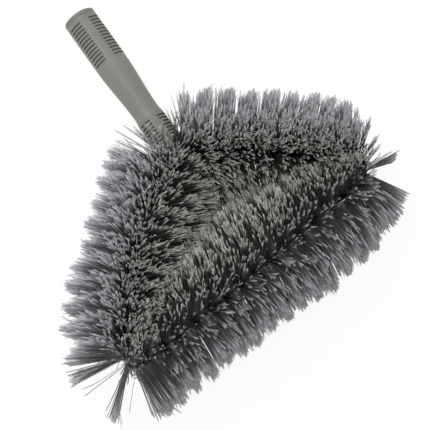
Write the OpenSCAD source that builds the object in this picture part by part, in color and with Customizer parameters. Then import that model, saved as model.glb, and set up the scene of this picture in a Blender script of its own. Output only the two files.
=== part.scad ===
// Cobweb brush. A twisted-wire bristle stem is bent into a rounded triangle and both of
// its ends are held in the nose of a moulded handle, whose other end is a socket for a pole.
// Millimetres. The origin is the centre of the socket's mouth, +Y points out of the mouth
// along the handle, and +Z is square to the plane in which the triangle lies.

/* [Handle] */
// Length of the handle from the socket's mouth to the nose
handle_len = 156; // [140:1:200]
// Wall of the grip around the liner
grip_wall = 2.35; // [1.8:0.05:5]
// Length of the straight grip from the mouth
grip_len = 54; // [45:1:60]
// Diameter at the waist
waist_d = 24.8; // [23:0.2:28]
// Distance from the nose to the waist
waist_back = 45; // [38:1:60]
// Least wall of the nose around the crimped sleeve
nose_wall = 5.1; // [4.5:0.1:8]
// Radius of the nose's rounded edge
nose_round = 4; // [1:0.5:4]
// Wall around the hollow core at the waist
core_wall = 3.2; // [2:0.1:5]
// Swell of the grip and of the nose half way along each
swell = 0.1; // [0:0.05:0.4]

/* [Grip slots] */
// Slots in each panel at the grip
grip_slots = 13; // [1:1:13]
// Slots in each panel at the nose
nose_slots = 8; // [1:1:8]
// Distance from one slot to the next
slot_pitch = 3.5; // [2.5:0.1:3.6]
// Width of a slot along the handle
slot_w = 1.7; // [0.8:0.1:2]
// Depth of a slot
slot_depth = 1.1; // [0.4:0.1:1.2]
// Panels of slots around the handle
slot_panels = 4; // [1:1:4]
// Angle that a slot takes up around the grip
slot_arc = 56; // [20:1:70]

/* [Pole socket] */
// Inside diameter of the socket
socket_d = 22.4; // [20:0.2:23]
// Depth of the socket
socket_len = 64; // [40:1:66]
// Wall of the liner in which the pole sits
liner_wall = 1.7; // [1:0.1:1.9]
// Thickness of the rim ring at the mouth
rim_t = 4; // [2:0.5:5]

/* [Head] */
// Length of the bristle stem along the far side of the triangle
far_side = 258; // [200:1:340]
// Angle at which the right side leaves the handle's line
right_splay = 53; // [45:0.5:58]
// Angle at which the left side leaves the handle's line
left_splay = 47; // [40:0.5:55]
// Slant of the far side
far_slant = 6.6; // [0:0.2:9]
// Angle through which the right side bows
right_bow = 17; // [4:1:24]
// Angle through which the far side bows
far_bow = 4; // [2:1:16]
// Angle through which the left side bows
left_bow = 32; // [4:1:36]
// Radius of the triangle's two far corners
corner_r = 9; // [8:0.5:20]
// Radius of the bends where the stem leaves the nose
exit_r = 9; // [8:0.5:16]

/* [Twisted stem] */
// Diameter of one stem wire
wire_d = 3; // [2:0.1:3.4]
// Length in which the two wires make one whole turn
twist_pitch = 35; // [28:1:50]
// Thickness of the strip of bristle roots nipped between the wires
strip_t = 0.8; // [0.5:0.1:1]
// Length of the crimped sleeve inside the nose
ferrule_len = 30; // [20:1:36]
// Wall of the crimped sleeve
ferrule_wall = 1; // [0.8:0.1:1.2]

/* [Bristles] */
// Radius of the bristles around the stem
bristle_r = 57; // [45:1:75]
// Reach of the bristles straight out from the far side
far_reach = 53; // [35:1:75]
// Reach of the bristles straight out from the two far corners
corner_reach = 44; // [25:1:75]
// Distance along the stem from one pair of bristle strands to the next
strand_step = 2.8; // [2.6:0.1:4]
// Thickness of a strand, which stands for a tuft of filaments
strand_d = 1.9; // [0.8:0.1:2.2]
// Depth to which the tips are cut flat where the brush lies on them
flat_cut = 0.5; // [0.1:0.1:1]

/* [Hidden] */
$fn = 96;

// Clearances, shared by both pieces of each fit
fit_gap = 0.05;
wire_gap = 0.2;
stem_gap = 0.15;
slice_gap = 0.2;

// Stem: two wires on opposite faces of the strip, and the sleeve round both of its ends
wire_r = wire_d / 2;
wire_sides = 6;
wire_axis_r = strip_t / 2 + wire_gap + wire_r * cos(180 / wire_sides);
stem_r = wire_axis_r + wire_r;
stem_offset = stem_r + 2 * stem_gap;
lead_len = ferrule_len - 1;
ferrule_hole = [stem_offset + stem_r + stem_gap, stem_r + stem_gap];
ferrule_half = ferrule_hole + [ferrule_wall, ferrule_wall];
strip_half = wire_r;
rings_per_turn = 12;

// Handle: outline and what sits in it, as distances back from the mouth
socket_floor = 2.5;
edge_chamfer = 0.35;
rim_round = 1.2;
liner_r = socket_d / 2 + liner_wall;
liner_len = socket_len + socket_floor;
grip_r = liner_r + fit_gap + grip_wall;
waist_r = waist_d / 2;
nose_r = ferrule_half.x + fit_gap + nose_wall;
waist_at = handle_len - waist_back;
flare_len = 10;
flare_end = waist_at + flare_len;
outline_steps = 14;
flare_steps = 5;
grip_slots_at = rim_t + 6.2;
nose_slots_at = handle_len - 33.5;
core_r = waist_r - core_wall;
core_end = handle_len - ferrule_len - 6;

// Bristles
first_strand = 3;
strand_flare = 4.5;
tip_share = 1.15;
inner_gap = 1.6;
corner_gap = 2.4;
jitter_turn = 5;
jitter_lean = 2.5;
length_loss = 0.05;
rest_half_angle = 15;
rest_z = -(bristle_r - flat_cut);

// Path of the stem. It leaves the nose on the right, runs round the triangle clockwise
// and comes back into the nose on the left. Each stretch is a length and the angle
// through which it turns, and the lengths of the two near sides follow from closing it.
function heading_of(a) = [cos(a), sin(a)];
function arc_len(r, turn) = r * abs(turn) * PI / 180;
function chord_share(turn) = abs(turn) < 0.001 ? 1 : 2 * sin(turn / 2) / (turn * PI / 180);
function chord(len, turn, a) = len * chord_share(turn) * heading_of(a + turn / 2);

right_start = -90 + right_splay + right_bow / 2;
far_start = -180 + far_slant + far_bow / 2;
left_start = -270 - left_splay + left_bow / 2;
left_end = left_start - left_bow;

TURNS = [0, right_start + 90, -right_bow, far_start - right_start + right_bow, -far_bow,
         left_start - far_start + far_bow, -left_bow, -270 - left_end, 0];
HEADINGS = [for (i = 0, a = -90; i < len(TURNS); a = a + TURNS[i], i = i + 1) a];
KNOWN = [lead_len, arc_len(exit_r, TURNS[1]), 0, arc_len(corner_r, TURNS[3]), far_side,
         arc_len(corner_r, TURNS[5]), 0, arc_len(exit_r, TURNS[7]), lead_len];

function sum_of(v, i = 0) = i < len(v) ? v[i] + sum_of(v, i + 1) : 0 * v[0];
known_run = sum_of([for (i = [0 : 8]) chord(KNOWN[i], TURNS[i], HEADINGS[i])]);
to_close = [-2 * stem_offset, 0] - known_run;
right_unit = chord(1, TURNS[2], HEADINGS[2]);
left_unit = chord(1, TURNS[6], HEADINGS[6]);
side_det = cross(right_unit, left_unit);
right_side = cross(to_close, left_unit) / side_det;
left_side = cross(right_unit, to_close) / side_det;

LENS = [for (i = [0 : 8]) i == 2 ? right_side : i == 6 ? left_side : KNOWN[i]];
CUTS = [for (i = 0, s = 0; i <= len(LENS); s = s + (i < len(LENS) ? LENS[i] : 0), i = i + 1) s];
path_start = [stem_offset, -handle_len + lead_len];
STARTS = [for (i = 0, p = path_start; i < len(LENS);
               p = p + chord(LENS[i], TURNS[i], HEADINGS[i]), i = i + 1) p];

function stretch_of(s, i = 0) = i < len(LENS) - 1 && s > CUTS[i + 1] ? stretch_of(s, i + 1) : i;
function turned(s, i) = TURNS[i] * (s - CUTS[i]) / LENS[i];
function path_heading(s) = let (i = stretch_of(s)) HEADINGS[i] + turned(s, i);
function path_point(s) =
    let (i = stretch_of(s), p = STARTS[i] + chord(s - CUTS[i], turned(s, i), HEADINGS[i]))
    [p.x, p.y, 0];
function path_ahead(s) = let (d = heading_of(path_heading(s))) [d.x, d.y, 0];
function path_outward(s) = let (d = heading_of(path_heading(s) + 90)) [d.x, d.y, 0];
function twist(s) = 360 * s / twist_pitch;
function across(s, a) = cos(a) * path_outward(s) + sin(a) * [0, 0, 1];

// Distance from a point inside the triangle to one of its bowed sides
function bow_radius(i) = LENS[i] / (abs(TURNS[i]) * PI / 180);
function bow_centre(i) =
    let (d = heading_of(HEADINGS[i] + 90)) STARTS[i] - bow_radius(i) * d;
function side_distance(i, p) = bow_radius(i) - norm([p.x, p.y] - bow_centre(i));
function others(i) = [for (j = [2, 4, 6]) if (j != i) j];
function room(i, p, own) = min([for (j = others(i)) side_distance(j, p)]) - own - inner_gap;
function inner_reach(i, p, inward, lo = 0, hi = 200, n = 14) =
    n == 0 ? lo
    : let (mid = (lo + hi) / 2)
      room(i, p + mid * inward, mid) > 0 ? inner_reach(i, p, inward, mid, hi, n - 1)
                                         : inner_reach(i, p, inward, lo, mid, n - 1);

// How far a strand may reach in the plane of the triangle before it meets another side's
function plane_reach(s) =
    let (i = stretch_of(s))
    i == 2 || i == 4 || i == 6 ? inner_reach(i, path_point(s), -path_outward(s))
                               : corner_r - corner_gap;

// How far a strand reaches in that plane on the outside, where the tips are worn back
function outer_reach(s) =
    let (i = stretch_of(s))
    i == 4 ? far_reach : i == 3 || i == 5 ? corner_reach : bristle_r;

// Length of a strand at angle a around the stem. Near straight down it reaches the
// surface that the brush lies on, and inside the triangle it stops half way across.
function strand_len(s, a, loss) =
    let (down = -sin(a), inward = -cos(a),
         free = bristle_r * (1 - loss),
         floor_len = -rest_z / max(down, 0.001),
         standing = down > cos(rest_half_angle),
         held = standing ? floor_len : min(free, floor_len))
    inward > 0 ? min(held, plane_reach(s) / inward)
               : min(held, outer_reach(s) * (1 - loss) / max(-inward, 0.001));

// Handle

module back_from_mouth() rotate([90, 0, 0]) children();

function ease(t) = t * t * (3 - 2 * t);
function eased(a, from, to, r0, r1) = r0 + (r1 - r0) * ease((a - from) / (to - from));
function rise(t) = sin(180 * min(max(t, 0), 1));
function handle_r(a) =
    a <= grip_len ? grip_r + swell * rise((a - rim_t) / (grip_len - rim_t))
    : a <= waist_at ? eased(a, grip_len, waist_at, grip_r, waist_r)
    : a <= flare_end ? eased(a, waist_at, flare_end, waist_r, nose_r)
    : nose_r + swell * rise((a - flare_end) / (handle_len - nose_round - flare_end));

function outline(from, to, n) = [for (i = [0 : n]) let (a = from + (to - from) * i / n) [handle_r(a), a]];

// Points of the outline half way between slots, so that the swell runs past each of them
function between_slots(first, count, from, to) =
    [for (i = [0 : count - 1]) let (a = first + (i - 0.5) * slot_pitch)
        if (a > from && a < to) [handle_r(a), a]];

handle_outline = concat(
    [[0, rim_t], [grip_r - edge_chamfer, rim_t], [handle_r(rim_t + edge_chamfer), rim_t + edge_chamfer]],
    between_slots(grip_slots_at, grip_slots, rim_t + 1, grip_len - 1),
    outline(grip_len, waist_at, outline_steps),
    outline(waist_at + flare_len / flare_steps, flare_end, flare_steps - 1),
    between_slots(nose_slots_at, nose_slots, flare_end + 1, handle_len - nose_round - 1),
    [for (t = [0 : 15 : 90])
        [nose_r - nose_round * (1 - cos(t)), handle_len - nose_round * (1 - sin(t))]],
    [[0, handle_len]]);

// A row of slots, each a recess in the surface, sunk by the same depth all along
module slot_row(first, count) {
    rotate([0, 0, -slot_arc / 2])
        rotate_extrude(angle = slot_arc)
            for (i = [0 : count - 1]) {
                at = first + i * slot_pitch;
                translate([handle_r(at) - slot_depth, at - slot_w / 2])
                    square([slot_depth + 3, slot_w]);
            }
}

module slot_panels_around(first, count) {
    for (k = [0 : slot_panels - 1])
        rotate([0, 0, (k + 0.5) * 360 / slot_panels]) slot_row(first, count);
}

// An oval bar along the handle, with a half width and a half height
module oval_bar(half, from, to) {
    side = half.x - half.y;
    translate([0, 0, from]) {
        translate([-side, -half.y, 0]) cube([2 * side, 2 * half.y, to - from]);
        for (x = [-side, side]) translate([x, 0, 0]) cylinder(r = half.y, h = to - from);
    }
}

module handle_body() {
    color([0.54, 0.55, 0.52])
        back_from_mouth() difference() {
            rotate_extrude() polygon(handle_outline);
            translate([0, 0, rim_t - 1])
                cylinder(r = liner_r + fit_gap, h = liner_len + fit_gap - rim_t + 1);
            translate([0, 0, liner_len]) cylinder(r = core_r, h = core_end - liner_len);
            oval_bar(ferrule_half + [fit_gap, fit_gap], handle_len - ferrule_len - fit_gap, handle_len + 1);
            slot_panels_around(grip_slots_at, grip_slots);
            slot_panels_around(nose_slots_at, nose_slots);
        }
}

// Flanged liner pressed into the grip: its flange is the rim, its bore takes the pole
module socket_liner() {
    rim_arc = [for (t = [90 : -15 : 0])
        [grip_r - rim_round * (1 - cos(t)), rim_round * (1 - sin(t))]];
    color([0.50, 0.51, 0.48])
        back_from_mouth() difference() {
            rotate_extrude()
                polygon(concat([[0, 0]], rim_arc,
                    [[grip_r, rim_t - edge_chamfer], [grip_r - edge_chamfer, rim_t],
                     [liner_r, rim_t], [liner_r, liner_len], [0, liner_len]]));
            translate([0, 0, -1]) cylinder(d = socket_d, h = socket_len + 1);
        }
}

// Crimped sleeve round both ends of the stem
module stem_ferrule() {
    color([0.70, 0.71, 0.72])
        back_from_mouth() difference() {
            oval_bar(ferrule_half, handle_len - ferrule_len, handle_len - fit_gap);
            oval_bar(ferrule_hole, handle_len - ferrule_len - 1, handle_len + 1);
        }
}

// Stem wires

// Skins rings of n points each into one closed solid with flat ends
module skin(rings, n) {
    last = len(rings) - 1;
    sides = [for (k = [0 : last - 1], i = [0 : n - 1])
        let (a = k * n + i, b = k * n + (i + 1) % n)
        each [[a, a + n, b + n], [a, b + n, b]]];
    near_end = [for (i = [1 : n - 2]) [0, i, i + 1]];
    far_end = [for (i = [1 : n - 2]) [last * n, last * n + i + 1, last * n + i]];
    polyhedron(points = [for (r = rings) each r], faces = concat(sides, near_end, far_end));
}

function wire_ring(s, side) =
    let (a = twist(s) + side,
         out = across(s, a),
         around = across(s, a + 90),
         along = path_ahead(s) + wire_axis_r * 2 * PI / twist_pitch * around,
         ahead = along / norm(along),
         third = cross(ahead, out),
         centre = path_point(s) + wire_axis_r * out)
    [for (i = [0 : wire_sides - 1])
        let (t = (i + 0.5) * 360 / wire_sides) centre + wire_r * (cos(t) * out + sin(t) * third)];

module stem_wire(side) {
    total = CUTS[len(LENS)];
    n = ceil(total / twist_pitch * rings_per_turn);
    skin([for (k = [0 : n]) wire_ring(total * k / n, side)], wire_sides);
}

module wire_first() color([0.62, 0.63, 0.64]) stem_wire(90);
module wire_second() color([0.62, 0.63, 0.64]) stem_wire(270);

// Bristles

// The strip of roots between the wires is four points a ring, and it twists with them.
// At each of its two narrow faces one of the two triangles grows into a strand.
function strip_ring(s) =
    let (w = across(s, twist(s)), h = across(s, twist(s) + 90), p = path_point(s))
    [p + strip_half * w + strip_t / 2 * h, p - strip_half * w + strip_t / 2 * h,
     p - strip_half * w - strip_t / 2 * h, p + strip_half * w - strip_t / 2 * h];

// The three points of a strand's section, standing round its line
function strand_section(at, ahead, aside, r) =
    [for (t = [-60, 60, 180]) at + r * (cos(t) * ahead + sin(t) * aside)];

// Grown strand: two sections after its root triangle. seeds are three numbers in -1 to 1.
function strand_points(s, side, seeds) =
    let (a = twist(s) + (side > 0 ? 0 : 180) + jitter_turn * seeds[0],
         lean = jitter_lean * seeds[1],
         flat = across(s, a),
         d = cos(lean) * flat + sin(lean) * path_ahead(s),
         aside = across(s, a + 90),
         ahead = cross(aside, d),
         root = path_point(s) + strip_half * flat,
         tip_len = strand_len(s, a, length_loss * (1 + seeds[2]) / 2) - strip_half,
         r = strand_d / 2,
         flare = strand_section(root + min(strand_flare, tip_len / 2) * d, ahead, aside, r),
         tip = strand_section(root + tip_len / cos(lean) * d, ahead, aside, r * tip_share),
         resting = abs((path_point(s) + (tip_len + strip_half) * flat).z - rest_z) < 0.3)
    concat(flare, resting ? [for (p = tip) p - d * (p.z - rest_z) / d.z] : tip);

module bristle_slice(from, to, seed) {
    run = to - from;
    n = max(2, round(run / strand_step));
    step = run / n;
    seeds = rands(-1, 1, 6 * n, seed);
    ring_points = [for (k = [0 : n]) each strip_ring(from + k * step)];
    strand_count = 2 * n;
    grown = [for (k = [0 : n - 1], e = [0, 1])
        let (q = 6 * k + 3 * e)
        each strand_points(from + (k + 0.5) * step, e == 0 ? 1 : -1,
                           [seeds[q], seeds[q + 1], seeds[q + 2]])];
    base = 4 * (n + 1);
    strip_faces = [for (k = [0 : n - 1])
        let (a = 4 * k, b = 4 * (k + 1))
        each [[a, b + 1, b], [a, a + 1, b + 1],
              [a + 2, b + 3, b + 2], [a + 2, a + 3, b + 3],
              [a + 3, b, b + 3], [a + 1, b + 2, b + 1]]];
    // Root triangles, in the order that faces outwards, and the walls that rise from them
    roots = [for (k = [0 : n - 1]) let (a = 4 * k, b = 4 * (k + 1))
        each [[a + 3, a, b], [a + 1, a + 2, b + 2]]];
    walls = [for (j = [0 : strand_count - 1])
        let (r = roots[j], f = base + 6 * j, t = f + 3)
        each concat(
            [for (i = [0 : 2]) let (i2 = (i + 1) % 3) each [[r[i], r[i2], f + i2], [r[i], f + i2, f + i]]],
            [for (i = [0 : 2]) let (i2 = (i + 1) % 3)
                each [[f + i, f + i2, t + i2], [f + i, t + i2, t + i]]],
            [[t, t + 1, t + 2]])];
    ends = [[0, 2, 1], [0, 3, 2],
            [4 * n, 4 * n + 1, 4 * n + 2], [4 * n, 4 * n + 2, 4 * n + 3]];
    faces = concat(strip_faces, walls, ends);
    polyhedron(points = concat(ring_points, grown), faces = [for (f = faces) [f[0], f[2], f[1]]]);
}

// Slices of the bristled stem, from the right of the nose round to the left of it. Each
// near side is two slices, the far side is three and each corner is one.
function share(i, a, b) = [CUTS[i] + LENS[i] * a, CUTS[i] + LENS[i] * b];
bristle_from = CUTS[2] + first_strand;
bristle_to = CUTS[7] - first_strand;
SLICES = [
    [bristle_from, share(2, 0.5, 1)[0]],
    share(2, 0.5, 1),
    share(3, 0, 1),
    share(4, 0, 1 / 3),
    share(4, 1 / 3, 2 / 3),
    share(4, 2 / 3, 1),
    share(5, 0, 1),
    share(6, 0, 0.5),
    [share(6, 0, 0.5)[1], bristle_to]];

module bristle_part(i)
    color([0.22, 0.22, 0.23])
        bristle_slice(SLICES[i][0] + slice_gap / 2, SLICES[i][1] - slice_gap / 2, 11 + i);

module bristles_right_upper() bristle_part(0);
module bristles_right_lower() bristle_part(1);
module bristles_right_corner() bristle_part(2);
module bristles_far_right() bristle_part(3);
module bristles_far_middle() bristle_part(4);
module bristles_far_left() bristle_part(5);
module bristles_left_corner() bristle_part(6);
module bristles_left_lower() bristle_part(7);
module bristles_left_upper() bristle_part(8);

handle_body();
socket_liner();
stem_ferrule();
wire_first();
wire_second();
bristles_right_upper();
bristles_right_lower();
bristles_right_corner();
bristles_far_right();
bristles_far_middle();
bristles_far_left();
bristles_left_corner();
bristles_left_lower();
bristles_left_upper();
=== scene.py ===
"""Cobweb brush: a twisted-wire bristle stem bent into a rounded triangle, in a moulded handle."""

import math
from collections import namedtuple

import bpy
import numpy as np
from mathutils import Matrix, Vector


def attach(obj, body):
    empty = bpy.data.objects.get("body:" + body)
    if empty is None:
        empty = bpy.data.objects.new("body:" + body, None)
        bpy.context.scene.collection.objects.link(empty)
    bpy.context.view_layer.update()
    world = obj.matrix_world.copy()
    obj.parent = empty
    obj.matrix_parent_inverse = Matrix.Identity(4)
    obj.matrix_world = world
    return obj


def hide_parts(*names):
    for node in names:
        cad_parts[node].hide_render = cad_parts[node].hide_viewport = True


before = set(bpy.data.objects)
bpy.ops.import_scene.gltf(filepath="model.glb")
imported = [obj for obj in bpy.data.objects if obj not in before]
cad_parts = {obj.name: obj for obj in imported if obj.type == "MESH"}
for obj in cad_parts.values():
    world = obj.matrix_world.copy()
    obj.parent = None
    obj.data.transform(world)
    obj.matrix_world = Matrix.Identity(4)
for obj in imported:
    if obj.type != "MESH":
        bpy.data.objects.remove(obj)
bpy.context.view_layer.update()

MM = 0.001
# Stands in for zero where something is divided by it
TINY = 1e-3

# Sizes of the brush, in mm and degrees

HANDLE_LEN = 156
GRIP_R = 15.3
NOSE_R = 13.398
WAIST_AT = 111
FLARE_LEN = 10

FERRULE_LEN = 30
IN_NOSE = FERRULE_LEN - 1
FAR_SIDE = 258
RIGHT_SPLAY, LEFT_SPLAY, FAR_SLANT = 53, 47, 6.6
RIGHT_BOW, FAR_BOW, LEFT_BOW = 17, 4, 32
CORNER_R, EXIT_R = 9, 9
WIRE_R = 1.5
TWIST_PITCH = 35
STEM_OFFSET = 3.699
BRISTLE_R = 57
FIRST_BRISTLE = 2
REST_Z = -56.5

# The stem's nine stretches. The first and the last lie in the nose of the handle, and the
# bends next to them lead out of it and back.
STRETCHES = 9
FIRST, OUT_BEND, RIGHT, RIGHT_CORNER, FAR, LEFT_CORNER, LEFT, IN_BEND, LAST = range(STRETCHES)
SIDE_STRETCHES = (RIGHT, FAR, LEFT)

# The search for the place where bristles of two sides meet, in mm
FARTHEST = 200.0
HALVINGS = 14
CORNER_ROOM = 9

# Path of the bristle stem


def unit(degrees):
    """Unit vectors in the plane of the triangle."""
    a = np.radians(degrees)
    return np.stack([np.cos(a), np.sin(a)], -1)


def chord(length, turn, heading):
    """How far a stretch of stem gets when it turns evenly on its way."""
    half = np.radians(np.where(np.abs(turn) < TINY, TINY, turn)) / 2
    return (length * np.sin(half) / half)[..., None] * unit(heading + turn / 2)


def stem_path():
    """Lengths, turns, headings and starts of the stem's nine stretches."""
    right = -90 + RIGHT_SPLAY + RIGHT_BOW / 2
    far = -180 + FAR_SLANT + FAR_BOW / 2
    left = -270 - LEFT_SPLAY + LEFT_BOW / 2
    turns = np.array([0, right + 90, -RIGHT_BOW, far - right + RIGHT_BOW, -FAR_BOW,
                      left - far + FAR_BOW, -LEFT_BOW, LEFT_BOW - 270 - left, 0])
    headings = -90 + np.concatenate([[0], np.cumsum(turns[:-1])])
    radii = np.array([0, EXIT_R, 0, CORNER_R, 0, CORNER_R, 0, EXIT_R, 0])
    lengths = radii * np.abs(np.radians(turns))
    lengths[[FIRST, LAST]] = IN_NOSE
    lengths[FAR] = FAR_SIDE
    known = chord(lengths, turns, headings).sum(0)
    ways = chord(np.ones(STRETCHES), turns, headings)[[RIGHT, LEFT]]
    to_close = np.array([-2 * STEM_OFFSET, 0]) - known
    lengths[[RIGHT, LEFT]] = np.linalg.solve(ways.T, to_close)
    start = np.array([STEM_OFFSET, -HANDLE_LEN + IN_NOSE])
    runs = np.cumsum(chord(lengths, turns, headings), 0)
    return lengths, turns, headings, start + np.vstack([[0, 0], runs[:-1]])


LENGTHS, TURNS, HEADINGS, STARTS = stem_path()
CUTS = np.concatenate([[0], np.cumsum(LENGTHS)])


def along_stem(s):
    """Centre, outward and forward directions and stretch of the stem at distances s along it."""
    i = np.clip(np.searchsorted(CUTS, s, side="left") - 1, FIRST, LAST)
    turned = TURNS[i] * (s - CUTS[i]) / LENGTHS[i]
    centre = STARTS[i] + chord(s - CUTS[i], turned, HEADINGS[i])
    heading = HEADINGS[i] + turned
    flat = lambda v: np.concatenate([v, np.zeros(v.shape[:-1] + (1,))], -1)
    return flat(centre), flat(unit(heading + 90)), flat(unit(heading)), i


def side_room(i, p):
    """Distance from points inside the triangle to its bowed side i."""
    radius = LENGTHS[i] / abs(math.radians(TURNS[i]))
    centre = STARTS[i] - radius * unit(HEADINGS[i] + 90)
    return radius - np.linalg.norm(p[..., :2] - centre, axis=-1)


def inner_reach(centre, way, own_share, stretch):
    """How far bristles go towards the middle before they meet those of another side."""
    low, high = np.zeros(len(centre)), np.full(len(centre), FARTHEST)
    for _ in range(HALVINGS):
        mid = (low + high) / 2
        p = centre + mid[:, None] * way
        rooms = np.stack([np.where(stretch == j, np.inf, side_room(j, p)) for j in SIDE_STRETCHES])
        free = rooms.min(0) > mid * own_share
        low, high = np.where(free, mid, low), np.where(free, high, mid)
    return np.where(np.isin(stretch, SIDE_STRETCHES), low, CORNER_R + CORNER_ROOM)


# Finishes

# The bristles' map has its lower half for outer and its upper for inner bristles. This
# width of each is used.
SHADE_WIDTH = 0.49
# Brightness of the darkest bristles, and how much the palest have more
DARKEST, TONE_RANGE = 0.48, 0.9

# Where the grip's outline turns into the nose's, and how deep in a slot the painted shade
# starts and is full, in mm
TAPER_FROM, TAPER_TO = 50, 60
SLOT_EDGE, SLOT_FULL = 0.25, 0.9


def shade(r, g, b):
    """A colour given as it looks on a screen, 0 to 255."""
    line = lambda c: c / 12.92 if c <= 0.04045 else ((c + 0.055) / 1.055) ** 2.4
    return tuple(line(c / 255) for c in (r, g, b)) + (1,)


class Value:
    """A value inside a finish, on which plain sums are written."""

    def __init__(self, finish, socket):
        self.finish, self.socket = finish, socket

    def sum(self, operation, a, b):
        return self.finish.node("Math", {"operation": operation}, {0: a, 1: b})

    def __add__(self, other):
        return self.sum("ADD", self, other)

    __radd__ = __add__

    def __sub__(self, other):
        return self.sum("SUBTRACT", self, other)

    def __rsub__(self, other):
        return self.sum("SUBTRACT", other, self)

    def __mul__(self, other):
        return self.sum("MULTIPLY", self, other)

    __rmul__ = __mul__

    def __pow__(self, other):
        return self.sum("POWER", self, other)


class Finish:
    """A material, and the one way in which nodes are added to it."""

    def __init__(self, name):
        self.material = bpy.data.materials.new(name)
        self.material.use_nodes = True
        self.tree = self.material.node_tree
        self.tree.nodes.clear()

    def node(self, kind, settings=None, sockets=None, out=0):
        """Any node. A socket is given a number, a colour or the value of another node."""
        made = self.tree.nodes.new("ShaderNode" + kind)
        for key, value in (settings or {}).items():
            if key == "stops":
                ramp = made.color_ramp
                while len(ramp.elements) < len(value):
                    ramp.elements.new(1)
                for stop, (place, colour) in zip(ramp.elements, value):
                    stop.position, stop.color = place, colour
            else:
                setattr(made, key, value)
        for key, value in (sockets or {}).items():
            if isinstance(value, Value):
                self.tree.links.new(value.socket, made.inputs[key])
            else:
                made.inputs[key].default_value = value
        return Value(self, made.outputs[out])

    def mix(self, share, a, b):
        return self.node("Mix", {"data_type": "RGBA"}, {0: share, 6: a, 7: b}, 2)

    def place(self):
        return self.node("TexCoord", out="Object")

    def noise(self, scale, detail=2.0):
        return self.node("TexNoise", None, {"Vector": self.place(), "Scale": scale,
                                            "Detail": detail})

    def parts(self, vector):
        split = self.node("SeparateXYZ", None, {0: vector})
        outs = split.socket.node.outputs
        return [Value(self, o) for o in outs]

    def ramp(self, value, stops):
        return self.node("ValToRGB", {"stops": stops}, {0: value})

    def span(self, value, low, high):
        return self.node("MapRange", {"interpolation_type": "SMOOTHSTEP"},
                         {0: value, 1: low, 2: high})

    def grain(self, scale, depth):
        """A fine even roughness, its depth in metres."""
        return self.node("Bump", None, {"Strength": 0.5, "Distance": depth,
                                        "Height": self.noise(scale)})

    def surface(self, **sockets):
        named = {key.replace("_", " "): value for key, value in sockets.items()}
        self.node_out(self.node("BsdfPrincipled", None, named))
        return self.material

    def node_out(self, shader):
        out = self.tree.nodes.new("ShaderNodeOutputMaterial")
        self.tree.links.new(shader.socket, out.inputs[0])


def bristle_finish():
    """Dark bristles with pale tips, and pale roots that are painted light lifting the shade among
    them. The map's u picks a bristle's tone and side.
    """
    f = Finish("bristle_fibre")
    u, v, _ = f.parts(f.node("UVMap", {"uv_map": "Bristle"}))
    inner = f.span(u, SHADE_WIDTH, 1 - SHADE_WIDTH)
    tone = f.node("Math", {"operation": "FRACT"}, {0: u * 2})
    # The pale stops at 0 and 0.2 are painted light, lifting the deep shade where the bristles crowd
    # the stem; the pale tips are the bristles' own colour
    inside = f.ramp(v, [(0.0, shade(225, 225, 225)), (0.2, shade(150, 150, 150)),
                        (0.45, shade(93, 93, 92)), (0.86, shade(93, 93, 90)),
                        (1.0, shade(200, 200, 194))])
    outside = f.ramp(v, [(0.0, shade(225, 225, 226)), (0.2, shade(150, 150, 151)),
                         (0.42, shade(108, 107, 109)), (0.75, shade(142, 140, 144)),
                         (1.0, shade(188, 186, 190))])
    colour = f.mix(inner, outside, inside)
    level = tone * TONE_RANGE + DARKEST
    lit = f.node("VectorMath", {"operation": "SCALE"}, {0: colour, "Scale": level})
    return f.surface(Base_Color=lit, Roughness=0.5, Specular_IOR_Level=0.35)


def handle_finish():
    """Moulded grey plastic with a fine grain, rougher in the slots and darkened there with painted
    shade.
    """
    f = Finish("moulded_grey_plastic")
    x, y, z = f.parts(f.place())
    r = (x * x + z * z) ** 0.5
    at_grip = f.span(y, -TAPER_TO * MM, -TAPER_FROM * MM)
    outline = at_grip * (GRIP_R * MM) + (1 - at_grip) * (NOSE_R * MM)
    at_nose = f.span(y, -(WAIST_AT + FLARE_LEN) * MM, -(WAIST_AT + FLARE_LEN + 1) * MM)
    slotted = f.node("Math", {"operation": "MAXIMUM"}, {0: at_grip, 1: at_nose})
    # Painted shade: the slots darken with depth below the outline, and the same mask makes them
    # rougher
    slot_shade = f.span(outline - r, SLOT_EDGE * MM, SLOT_FULL * MM) * slotted
    cloud = f.noise(scale=60.0, detail=3.0)
    colour = f.mix(cloud, shade(110, 113, 105), shade(121, 124, 115))
    colour = f.mix(slot_shade * 0.6, colour, shade(66, 68, 64))
    return f.surface(Base_Color=colour, Roughness=0.36 + 0.14 * cloud + 0.26 * slot_shade,
                     Normal=f.grain(scale=2400.0, depth=0.00006))


def rim_finish():
    """The same plastic as the handle's, a little darker and duller."""
    f = Finish("rim_plastic")
    cloud = f.noise(scale=90.0, detail=3.0)
    return f.surface(Base_Color=f.mix(cloud, shade(104, 107, 99), shade(117, 120, 111)),
                     Roughness=0.42 + 0.16 * cloud,
                     Normal=f.grain(scale=2400.0, depth=0.00006))


def metal_finish(name, dull, dark, light):
    """Clouded grey metal between two levels of grey, 0 to 255."""
    f = Finish(name)
    cloud = f.noise(scale=420.0, detail=4.0)
    return f.surface(Base_Color=f.mix(cloud, shade(dark, dark, dark), shade(light, light, light)),
                     Metallic=1.0, Roughness=dull + 0.2 * cloud,
                     Normal=f.grain(scale=1500.0, depth=0.00004))


# Bristles

# Rings of a bristle: their places from root to tip, and their radii in mm
RINGS = np.array([0.0, 0.42, 0.8, 1.0])
RING_RADII = np.array([0.17, 0.19, 0.2, 0.2])
EDGES = 3
# Width of a bristle in its map, and the rows of the corners of its two ends
MAP_WIDTH = 0.004
END_ROWS = [[0.0, 0.0, 0.02], [0.98, 0.98, 1.0]]

CLUMPS_PER_MM = 35
HAIRS_PER_CLUMP = 4
LONGEST_PIECE = 58
FIRST_SEED, SEED_STEP = 40, 10

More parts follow.
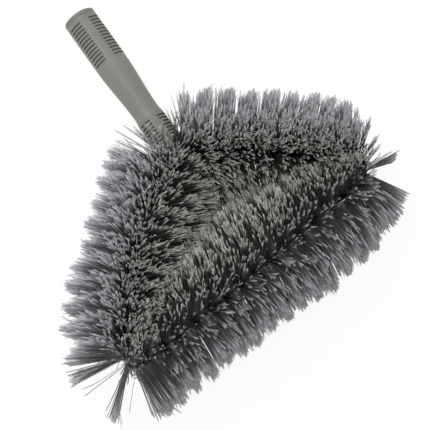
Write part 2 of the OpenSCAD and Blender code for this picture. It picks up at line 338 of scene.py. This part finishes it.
# Lengths of the twist's lobes and of the tufts in them, and how far in mm the tips of the
# tufts and of the upright bristles draw together
LOBE = TWIST_PITCH / 2
TUFT = 3.7
TUFT_PULL = 1.5
UPRIGHT_PULL = 3.6
# How lobes and tufts differ: by a share of their reach, and in lean by degrees. The lean
# changes LOBE_SHIFT mm before the reach does.
LOBE_REACH, TUFT_REACH = 0.03, 0.06
LOBE_LEAN, TUFT_LEAN = 2.2, 0.7
LOBE_SHIFT = 3

# Spread of the clumps about the nip and along the stem in degrees, and the share of
# strays inside the triangle
TWIST_SPREAD, SPREAD_LIMIT = 12, 32
LEAN_SPREAD, INNER_LEAN_SPREAD = 1.3, 2.4
INNER_STRAYS = 0.4
# Angle round the stem, 1 for straight up: range of the upright bristles, from where they
# count as raised, and how strongly at most those below the plane lie down into it
UPRIGHT = (0.7, 1.17)
RAISED = 0.5
LOWER_FLAT = 0.5

# Bare places: the bends beside the nose and the start of the left side, in mm, and the
# share of the bristles that is left there
BEND_MARGIN = 1.5
WORN_LEN = 6
KEPT_SHARE = 0.22
# Single bristles between a corner's tufts, how high its bristles are raised at most, and
# the angle of the tufts in radians and its spread
SINGLE_SHARE = 0.01
CORNER_TOP = 0.85
TUFT_RISE = (0.1, 0.22)

# Beside the nose: how far along the stem the bristles fan, in mm, the share of those that
# fan widely, and the degrees by which these, the others and the steep ones do
NEAR_NOSE = 16
WIDE_SHARE = 0.18
WIDE_FAN, SLIGHT_FAN, STEEP_FAN = (8, 38), (-10, 10), (0, 32)
# Sines of the angles round the stem from which bristles fan as steep ones, from which
# inner ones gather into tufts, and up to which inner ones get their own length
FAN_STEEP = 0.75
GATHER_STEEP = 0.9
INNER_STEEP = 0.5

# Length of the inner bristles, how far in mm they reach in among those of another side,
# and the share by which clumps and hairs are shorter at most. A power above 1 leaves most
# outer bristles nearly whole where the edge is ragged.
INNER_R = 63
MINGLE = (-1, 12)
SHORTER = 0.08
RAGGED_POWER = 1.5

# From this cosine of the angle round the stem outer bristles are combed. Of combed and
# other ones: how far in mm they bend, curl and fray
COMBED = 0.7
BENT, CURLED, FRAYED = (0.4, 1.5), (0.3, 1.2), (0.22, 0.45)
# The share of loose clumps and their curl in mm, and how far apart in mm the hairs of a
# clump start and bend
LOOSE_SHARE, LOOSE_CURL = 0.05, 5
ROOT_SCATTER, BEND_SCATTER = 0.25, 0.12

# How much of a tone comes from the clump and from the hair, its limits, and how widely
# the shades of inner and outer bristles mingle
CLUMP_TONE, HAIR_TONE = 0.45, 0.55
TONE_LIMITS = (0.02, 0.98)
SHADE_MINGLE = 0.22

# How far in mm a side's tips draw together into lobes, how deep the gaps between lobes are,
# its share of strays, how strongly its outer and its inner bristles lie down into the
# plane, how ragged its edge is, how much painted shade darkens its outer bristles for the
# way light falls on the side (below zero, painted light brightens them), and which share
# of these stands up
Side = namedtuple("Side", "pull notch strays flat_out flat_in ragged darker upright")
BEND = Side(0.5, 0, 0.3, 0.3, 0.5, 0.1, 0, 0.1)
SIDES = {RIGHT: Side(1.9, 0.08, 0.24, 1.2, 0.35, 0.05, 0.0, 0.34),
         FAR: Side(0.5, 0.04, 0.3, 3.0, 0.5, 0.15, 0.0, 0),
         LEFT: Side(5.8, 0.5, 0.06, 1.6, 0.4, 0.2, -0.25, 0.22)}

# Lean of the bristles along the stem in degrees, outside and inside the triangle
LEAN_AT = [38, 80, 150, 176, 190, 208, 235, 440, 466, 490, 500, 580, 640, 668]
LEAN_OUT = [0, 8, 6, 0, -11, 17, 15, 10, 6, 6, 4, 2, 2, -12]
LEAN_IN = [30, 16, 14, 14, 12, 2, -10, -12, -14, -4, 0, 16, 22, 24]

# How far the worn fringe reaches straight out, in mm, at distances along the stem
FRINGE_AT = [38, 76, 123, 176, 188, 210, 222, 274, 327, 400, 466, 490, 515, 552, 589, 644, 668]
FRINGE = [58, 57, 54, 54, 40, 44, 56, 57, 50, 48, 46, 50, 57, 55, 50, 56, 59]

# Tufts into which the far corners have split: place round the corner, reach in mm, share
# of the clumps there, width at the root in mm and lean in degrees. What the shares leave
# over has worn away.
TUFTS = {
    RIGHT_CORNER: [(0.01, 38, 0.08, 0.2, 6), (0.17, 27, 0.03, 0.2, 2), (0.55, 30, 0.14, 0.3, -14),
                   (0.70, 40, 0.14, 0.4, 27), (0.84, 46, 0.16, 0.5, 25), (0.96, 50, 0.2, 0.6, 16)],
    LEFT_CORNER: [(0.08, 46, 0.18, 0.6, -4), (0.3, 45, 0.14, 0.4, -27), (0.62, 49, 0.12, 0.25, -24),
                  (0.92, 52, 0.06, 0.4, -12), (0.98, 55, 0.06, 0.4, 0)],
}


def pull(s, period, reach):
    """How far, in mm, tips move along the stem to gather into tufts one period apart."""
    return -2 * reach * (s / period - np.round(s / period))


def of_side(stretch, what):
    """One of the values of SIDES for each of the stretches given."""
    return np.array([getattr(SIDES.get(i, BEND), what) for i in range(STRETCHES)])[stretch]


def lobe_draw(s, size, period=LOBE):
    """A steady random number for each lobe of the twist, or for each tuft."""
    number = np.round(s / period)
    return size * np.sin(number * 12.9898 + 4.1) * np.cos(number * 7.23)


def clump_lines(rng, start, end):
    """Places along the stem, angles round it, reaches and leans of the clumps of one piece."""
    clumps = round((end - start) * CLUMPS_PER_MM)
    s = start + (np.arange(clumps) + rng.random(clumps)) / clumps * (end - start)
    half = np.where(rng.random(clumps) < 0.5, 0.0, 180.0)
    stretch = along_stem(s)[3]
    nip = 360 * s / TWIST_PITCH + half
    spread = np.clip(rng.normal(0, TWIST_SPREAD, clumps), -SPREAD_LIMIT, SPREAD_LIMIT)
    inward = np.cos(np.radians(nip)) < 0
    strays = np.where(inward, INNER_STRAYS, of_side(stretch, "strays"))
    spread = np.where(rng.random(clumps) < strays, rng.uniform(-90, 90, clumps), spread)
    turn = (nip + spread + 90) % 360 - 90
    outward = turn < 90
    raised = np.where(outward, turn, turn - 180) / 90
    flat = np.where(outward, of_side(stretch, "flat_out"), of_side(stretch, "flat_in"))
    below = raised * np.where(outward, 1, -1) < 0
    flat = np.where(below, np.minimum(flat, LOWER_FLAT), flat)
    raised = np.sign(raised) * np.abs(raised) ** (1 + flat)
    stands = outward & (rng.random(clumps) < of_side(stretch, "upright"))
    raised = np.where(stands, rng.uniform(*UPRIGHT, clumps), raised)
    a = np.radians(90 * raised + np.where(outward, 0, 180))
    off_lobe = 2 * np.abs(s / LOBE - np.round(s / LOBE))
    reach = np.interp(s, FRINGE_AT, FRINGE) * (1 - of_side(stretch, "notch") * off_lobe ** 2)
    # Few bristles are left outside the bends beside the nose, which they would run into,
    # and at the worn start of the left side
    bend = (s < CUTS[RIGHT] + BEND_MARGIN) | (s > CUTS[IN_BEND] - BEND_MARGIN)
    worn = (s > CUTS[LEFT]) & (s < CUTS[LEFT] + WORN_LEN)
    bare = (bend | worn) & outward
    keep = ~bare | (np.abs(raised) > RAISED) & worn | (rng.random(clumps) < KEPT_SHARE)
    lean = np.interp(s, LEAN_AT, LEAN_OUT)
    corner = int(along_stem(np.array([(start + end) / 2]))[3][0])
    if corner in TUFTS:
        at, out, share, width, tuft_lean = np.array(TUFTS[corner]).T
        pick = rng.choice(len(at) + 1, clumps, p=np.append(share, 1 - share.sum()))
        single = rng.random(clumps) < SINGLE_SHARE
        outward &= np.abs(raised) < CORNER_TOP
        keep &= ~outward | single | (pick < len(at))
        pick = np.minimum(pick, len(at) - 1)
        root = CUTS[corner] + LENGTHS[corner] * at[pick] + rng.normal(0, 1, clumps) * width[pick]
        in_tuft = outward & ~single
        s = np.where(in_tuft, root, s)
        a = np.where(outward, rng.normal(*TUFT_RISE, clumps), a)
        reach = np.where(in_tuft, out[pick], reach)
        lean = np.where(in_tuft, tuft_lean[pick], lean)
    lean = np.where(np.cos(a) < 0, np.interp(s, LEAN_AT, LEAN_IN), lean)
    reach = reach * (1 + lobe_draw(s, LOBE_REACH) + lobe_draw(s, TUFT_REACH, TUFT))
    return s[keep], a[keep], reach[keep], lean[keep]


def full_lean(rng, s, a, lean, stretch):
    """Lean of each clump in radians, with its spread, its tuft and the fan beside the nose."""
    clumps, steep, points_in = len(s), np.sin(a), np.cos(a) < 0
    rise = np.clip(steep, 0, 1) ** 2
    lobes = pull(s, LOBE, of_side(stretch, "pull") * (1 - rise) + UPRIGHT_PULL * rise)
    tips_move = np.where(points_in & (steep < GATHER_STEEP), 0, lobes + pull(s, TUFT, TUFT_PULL))
    spread = rng.normal(0, 1, clumps) * np.where(points_in, INNER_LEAN_SPREAD, LEAN_SPREAD)
    lean = (lean * np.abs(np.cos(a)) + spread + np.degrees(tips_move / BRISTLE_R)
            + lobe_draw(s + LOBE_SHIFT, LOBE_LEAN) + lobe_draw(s, TUFT_LEAN, TUFT))
    # Next to the nose the bristles fan back over it
    near_nose = np.clip(1 - np.minimum(s - CUTS[OUT_BEND], CUTS[LAST] - s) / NEAR_NOSE, 0, 1)
    wide = rng.random(clumps) < WIDE_SHARE
    fan = np.where(wide, rng.uniform(*WIDE_FAN, clumps), rng.uniform(*SLIGHT_FAN, clumps))
    fan = np.where(steep > FAN_STEEP, rng.uniform(*STEEP_FAN, clumps), fan)
    return np.radians(lean + near_nose * fan * np.where(s < CUTS[FAR], -1, 1))


def clump_lengths(rng, stem, a, lean, fringe):
    """Length of each clump: to the worn fringe outside, to the next side's bristles inside."""
    centre, outward, ahead, stretch = stem
    clumps, points_in = len(a), np.cos(a) < 0
    own = np.where(points_in & (np.abs(np.sin(a)) < INNER_STEEP), INNER_R, BRISTLE_R)
    free = own * (1 - SHORTER * rng.random(clumps) ** 2)
    way_in = np.sin(lean)[:, None] * ahead - np.cos(lean)[:, None] * outward
    inner = inner_reach(centre, way_in, np.cos(lean), stretch) + rng.uniform(*MINGLE, clumps)
    across_plane = np.maximum(np.abs(np.cos(a)), TINY)
    worn = 1 - of_side(stretch, "ragged") * rng.random(clumps) ** RAGGED_POWER
    outer = np.minimum(np.maximum(free, fringe), fringe / across_plane) * worn / np.cos(lean)
    return np.where(points_in, np.minimum(free, inner / across_plane), outer)


def grow(start, end, seed):
    """Root, way to the tip, bend and fray of each bristle on a stretch of stem, in mm."""
    rng = np.random.default_rng(seed)
    s, a, fringe, lean = clump_lines(rng, start, end)
    clumps = len(s)
    stem = along_stem(s)
    centre, outward, ahead, stretch = stem
    lean = full_lean(rng, s, a, lean, stretch)
    up = np.array([0.0, 0.0, 1.0])
    cos, sin = np.cos(a)[:, None], np.sin(a)[:, None]
    flat = cos * outward + sin * up
    aside = -sin * outward + cos * up
    way = np.cos(lean)[:, None] * flat + np.sin(lean)[:, None] * ahead
    length = clump_lengths(rng, stem, a, lean, fringe)

    combed = np.cos(a) > COMBED
    bend = np.where(combed, *BENT) * rng.normal(0, 1, (2, clumps))
    bend = bend[0][:, None] * aside + bend[1][:, None] * ahead
    # A few clumps have worked loose, and their tips curl away from the rest
    loose = rng.random(clumps) < LOOSE_SHARE
    curl = np.where(loose, LOOSE_CURL, np.where(combed, *CURLED)) * rng.normal(0, 1, (2, clumps))
    curl = curl[0][:, None] * aside + curl[1][:, None] * ahead
    # The two shades of bristle mingle where the outer and the inner ones meet
    inside = np.cos(a) + rng.normal(0, SHADE_MINGLE, clumps) < 0

    k = np.repeat(np.arange(clumps), HAIRS_PER_CLUMP)
    hairs = len(k)

    def scatter(size):
        return (rng.normal(0, size, hairs)[:, None] * aside[k]
                + rng.normal(0, size, hairs)[:, None] * ahead[k])

    hair_len = length[k] * (1 - SHORTER * rng.random(hairs) ** 2)
    root = centre[k] + WIRE_R * flat[k] + scatter(ROOT_SCATTER)
    bend = bend[k] + scatter(BEND_SCATTER)
    fray = curl[k] + scatter(1) * np.where(combed, *FRAYED)[k][:, None]
    spin = rng.uniform(0, 2 * math.pi, hairs)
    # Painted shade or light: a side's outer bristles are darkened or brightened for the way light
    # falls on that side
    darker = np.where(np.cos(a) < 0, 0, of_side(stretch, "darker"))
    clump_tone = CLUMP_TONE * rng.random(clumps) - darker
    tone = np.clip(clump_tone[k] + HAIR_TONE * rng.random(hairs), *TONE_LIMITS)
    return {"root": root, "way": way[k] * hair_len[:, None], "bend": bend, "fray": fray,
            "aside": aside[k], "ahead": np.cross(way[k], aside[k]), "spin": spin,
            "inner": inside[k], "tone": tone}


def bristle_mesh(name, hairs):
    """All the bristles of a piece as one mesh, three-sided and closed at both ends."""
    n, rings = len(hairs["root"]), len(RINGS)
    t = RINGS[None, :, None]
    line = (hairs["root"][:, None] + hairs["way"][:, None] * t
            + hairs["bend"][:, None] * t ** 2 + hairs["fray"][:, None] * t ** 6)
    corner = hairs["spin"][:, None] + np.arange(EDGES) * 2 * math.pi / EDGES
    ring = (np.cos(corner)[..., None] * hairs["aside"][:, None]
            + np.sin(corner)[..., None] * hairs["ahead"][:, None])
    points = line[:, :, None] + RING_RADII[None, :, None, None] * ring[:, None]
    points[..., 2] = np.maximum(points[..., 2], REST_Z)
    points = points.reshape(-1, 3) * MM

    here = np.arange(EDGES)
    after = (here + 1) % EDGES
    band = np.stack([here, after, EDGES + after, EDGES + here], -1)
    quads = np.concatenate([EDGES * r + band for r in range(rings - 1)])
    last = EDGES * (rings - 1)
    caps = np.array([here[::-1], last + here])
    first = (np.arange(n) * EDGES * rings)[:, None]
    loops = (first + np.concatenate([quads.ravel(), caps.ravel()])).ravel()
    sizes = np.tile(np.array([4] * len(quads) + [EDGES] * len(caps)), n)

    mesh = bpy.data.meshes.new(name)
    mesh.vertices.add(len(points))
    mesh.vertices.foreach_set("co", points.astype(np.float32).ravel())
    mesh.loops.add(len(loops))
    mesh.loops.foreach_set("vertex_index", loops.astype(np.int32))
    mesh.polygons.add(len(sizes))
    starts = np.concatenate([[0], np.cumsum(sizes)[:-1]])
    mesh.polygons.foreach_set("loop_start", starts.astype(np.int32))
    mesh.update(calc_edges=True)

    # u is the bristle's tone, in the lower half of the map for outer and the upper for inner
    u = np.where(hairs["inner"], 0.5, 0.0) + SHADE_WIDTH * hairs["tone"]
    column = MAP_WIDTH * np.concatenate([np.tile([0, 1, 1, 0], len(quads)),
                                         np.tile([0, 1, 0.5], len(caps))])
    row = np.concatenate([np.tile([0, 0, 1, 1], EDGES) + r for r in range(rings - 1)])
    row = np.concatenate([RINGS[row], *END_ROWS])
    uv = np.stack([np.add.outer(u, column), np.broadcast_to(row, (n, len(row)))], -1)
    for layer in ("Bristle", "OFBake"):
        mesh.uv_layers.new(name=layer).data.foreach_set("uv", uv.astype(np.float32).ravel())
    mesh.uv_layers["Bristle"].active_render = True
    mesh.polygons.foreach_set("use_smooth", np.ones(len(sizes), bool))
    mesh.validate()
    return mesh


def slices():
    """Start and end along the stem of the nine slices of bristles, cut as in the CAD."""
    part = lambda i, a, b: (CUTS[i] + LENGTHS[i] * a, CUTS[i] + LENGTHS[i] * b)
    right_lower, left_lower = part(RIGHT, 0.5, 1), part(LEFT, 0, 0.5)
    return {
        "bristles_right_upper": (CUTS[OUT_BEND] + FIRST_BRISTLE, right_lower[0]),
        "bristles_right_lower": right_lower,
        "bristles_right_corner": part(RIGHT_CORNER, 0, 1),
        "bristles_far_right": part(FAR, 0, 1 / 3),
        "bristles_far_middle": part(FAR, 1 / 3, 2 / 3),
        "bristles_far_left": part(FAR, 2 / 3, 1),
        "bristles_left_corner": part(LEFT_CORNER, 0, 1),
        "bristles_left_lower": left_lower,
        "bristles_left_upper": (left_lower[1], CUTS[LAST] - FIRST_BRISTLE),
    }


fibre = bristle_finish()
for number, (node, (start, end)) in enumerate(slices().items()):
    pieces = math.ceil((end - start) / LONGEST_PIECE)
    run = (end - start) / pieces
    for k in range(pieces):
        name = f"{node.replace('bristles', 'filaments')}_{k + 1}"
        seed = FIRST_SEED + SEED_STEP * number + k
        hairs = grow(start + k * run, start + (k + 1) * run, seed)
        piece = bpy.data.objects.new(name, bristle_mesh(name, hairs))
        bpy.context.scene.collection.objects.link(piece)
        piece.data.materials.append(fibre)
        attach(piece, "root")
        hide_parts(node)

# Handle, rim and stem

plain = {
    "handle_body": handle_finish(),
    "socket_liner": rim_finish(),
    "stem_ferrule": metal_finish("crimped_aluminium", dull=0.35, dark=150, light=182),
    "wire_first": metal_finish("dull_wire", dull=0.5, dark=60, light=92),
}
plain["wire_second"] = plain["wire_first"]
for node, finish in plain.items():
    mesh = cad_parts[node].data
    mesh.materials.clear()
    mesh.materials.append(finish)

# Floor, camera and lights, in metres

MIDDLE_Y = -0.15
PAPER_SIZE = 12
PAPER_GAP = 0.0003
LAMP_AIM = Vector((0, -0.2, 0))
WHITE = (1, 1, 1, 1)
# Light of the surroundings, on the brush and as the camera sees it
AROUND, BEHIND = 0.75, 1


def floor_finish():
    """White paper that glows where it is looked at, and takes the shadow faintly."""
    f = Finish("white_paper")
    outs = f.node("LightPath").socket.node.outputs
    seen = (Value(f, outs["Is Camera Ray"]) + Value(f, outs["Is Glossy Ray"])
            + Value(f, outs["Is Transmission Ray"]))
    paper = f.node("BsdfDiffuse", None, {"Color": (0.9, 0.9, 0.9, 1)})
    glow = f.node("Emission", None, {"Color": WHITE, "Strength": 1.0})
    f.node_out(f.node("MixShader", None, {0: seen * 0.92, 1: paper, 2: glow}))
    return f.material


bpy.ops.object.select_all(action="DESELECT")
paper_at = (0, MIDDLE_Y, REST_Z * MM - PAPER_GAP)
bpy.ops.mesh.primitive_plane_add(size=PAPER_SIZE, location=paper_at)
floor = bpy.context.object
floor.name = "paper_floor"
floor.data.materials.append(floor_finish())

CAMERA_RIGHT = Vector((0.8225, -0.567, 0.0414)).normalized()
CAMERA_BACK = Vector((-0.1917, -0.208, 0.959)).normalized()
CAMERA_UP = CAMERA_BACK.cross(CAMERA_RIGHT).normalized()
CAMERA_RIGHT = CAMERA_UP.cross(CAMERA_BACK)


def in_view(right, up, back):
    """A point as the camera sees it: to the right, up and towards it from the middle."""
    return (Vector((0, MIDDLE_Y, 0))
            + right * CAMERA_RIGHT + up * CAMERA_UP + back * CAMERA_BACK)


def facing(place, back):
    """The setting of a camera or lamp at a place, with its back turned the way given."""
    right = CAMERA_UP.cross(back).normalized()
    up = back.cross(right)
    turn = Matrix((right, up, back)).transposed().to_4x4()
    return Matrix.Translation(place) @ turn


camera = bpy.data.objects.new("view", bpy.data.cameras.new("view"))
camera.data.sensor_width, camera.data.lens = 36, 139.5
camera.data.clip_start, camera.data.clip_end = 0.05, 20
camera.matrix_world = facing(in_view(0.0401, -0.0616, 1.5), CAMERA_BACK)
bpy.context.scene.collection.objects.link(camera)
bpy.context.scene.camera = camera


def lamp(name, place, size, power):
    """A round lamp turned to the brush, its size in metres and its power in watts."""
    light = bpy.data.lights.new(name, "AREA")
    light.shape, light.size, light.energy = "DISK", size, power
    thing = bpy.data.objects.new(name, light)
    thing.matrix_world = facing(place, (place - LAMP_AIM).normalized())
    bpy.context.scene.collection.objects.link(thing)


lamp("key", in_view(-1.2, 1.4, 1.0), size=1.1, power=18)
lamp("front", in_view(-0.1, 0.25, 1.9), size=0.7, power=9)

world = bpy.data.worlds.new("studio")
bpy.context.scene.world = world
world.use_nodes = True
sky = world.node_tree.nodes["Background"]
sky.inputs["Color"].default_value = WHITE
# Full white where the camera sees it, and a softer light on everything else
to_camera = world.node_tree.nodes.new("ShaderNodeLightPath").outputs["Is Camera Ray"]
strength = world.node_tree.nodes.new("ShaderNodeMapRange")
world.node_tree.links.new(to_camera, strength.inputs["Value"])
strength.inputs["To Min"].default_value = AROUND
strength.inputs["To Max"].default_value = BEHIND
world.node_tree.links.new(strength.outputs[0], sky.inputs["Strength"])
bpy.context.scene.view_settings.view_transform = "Standard"
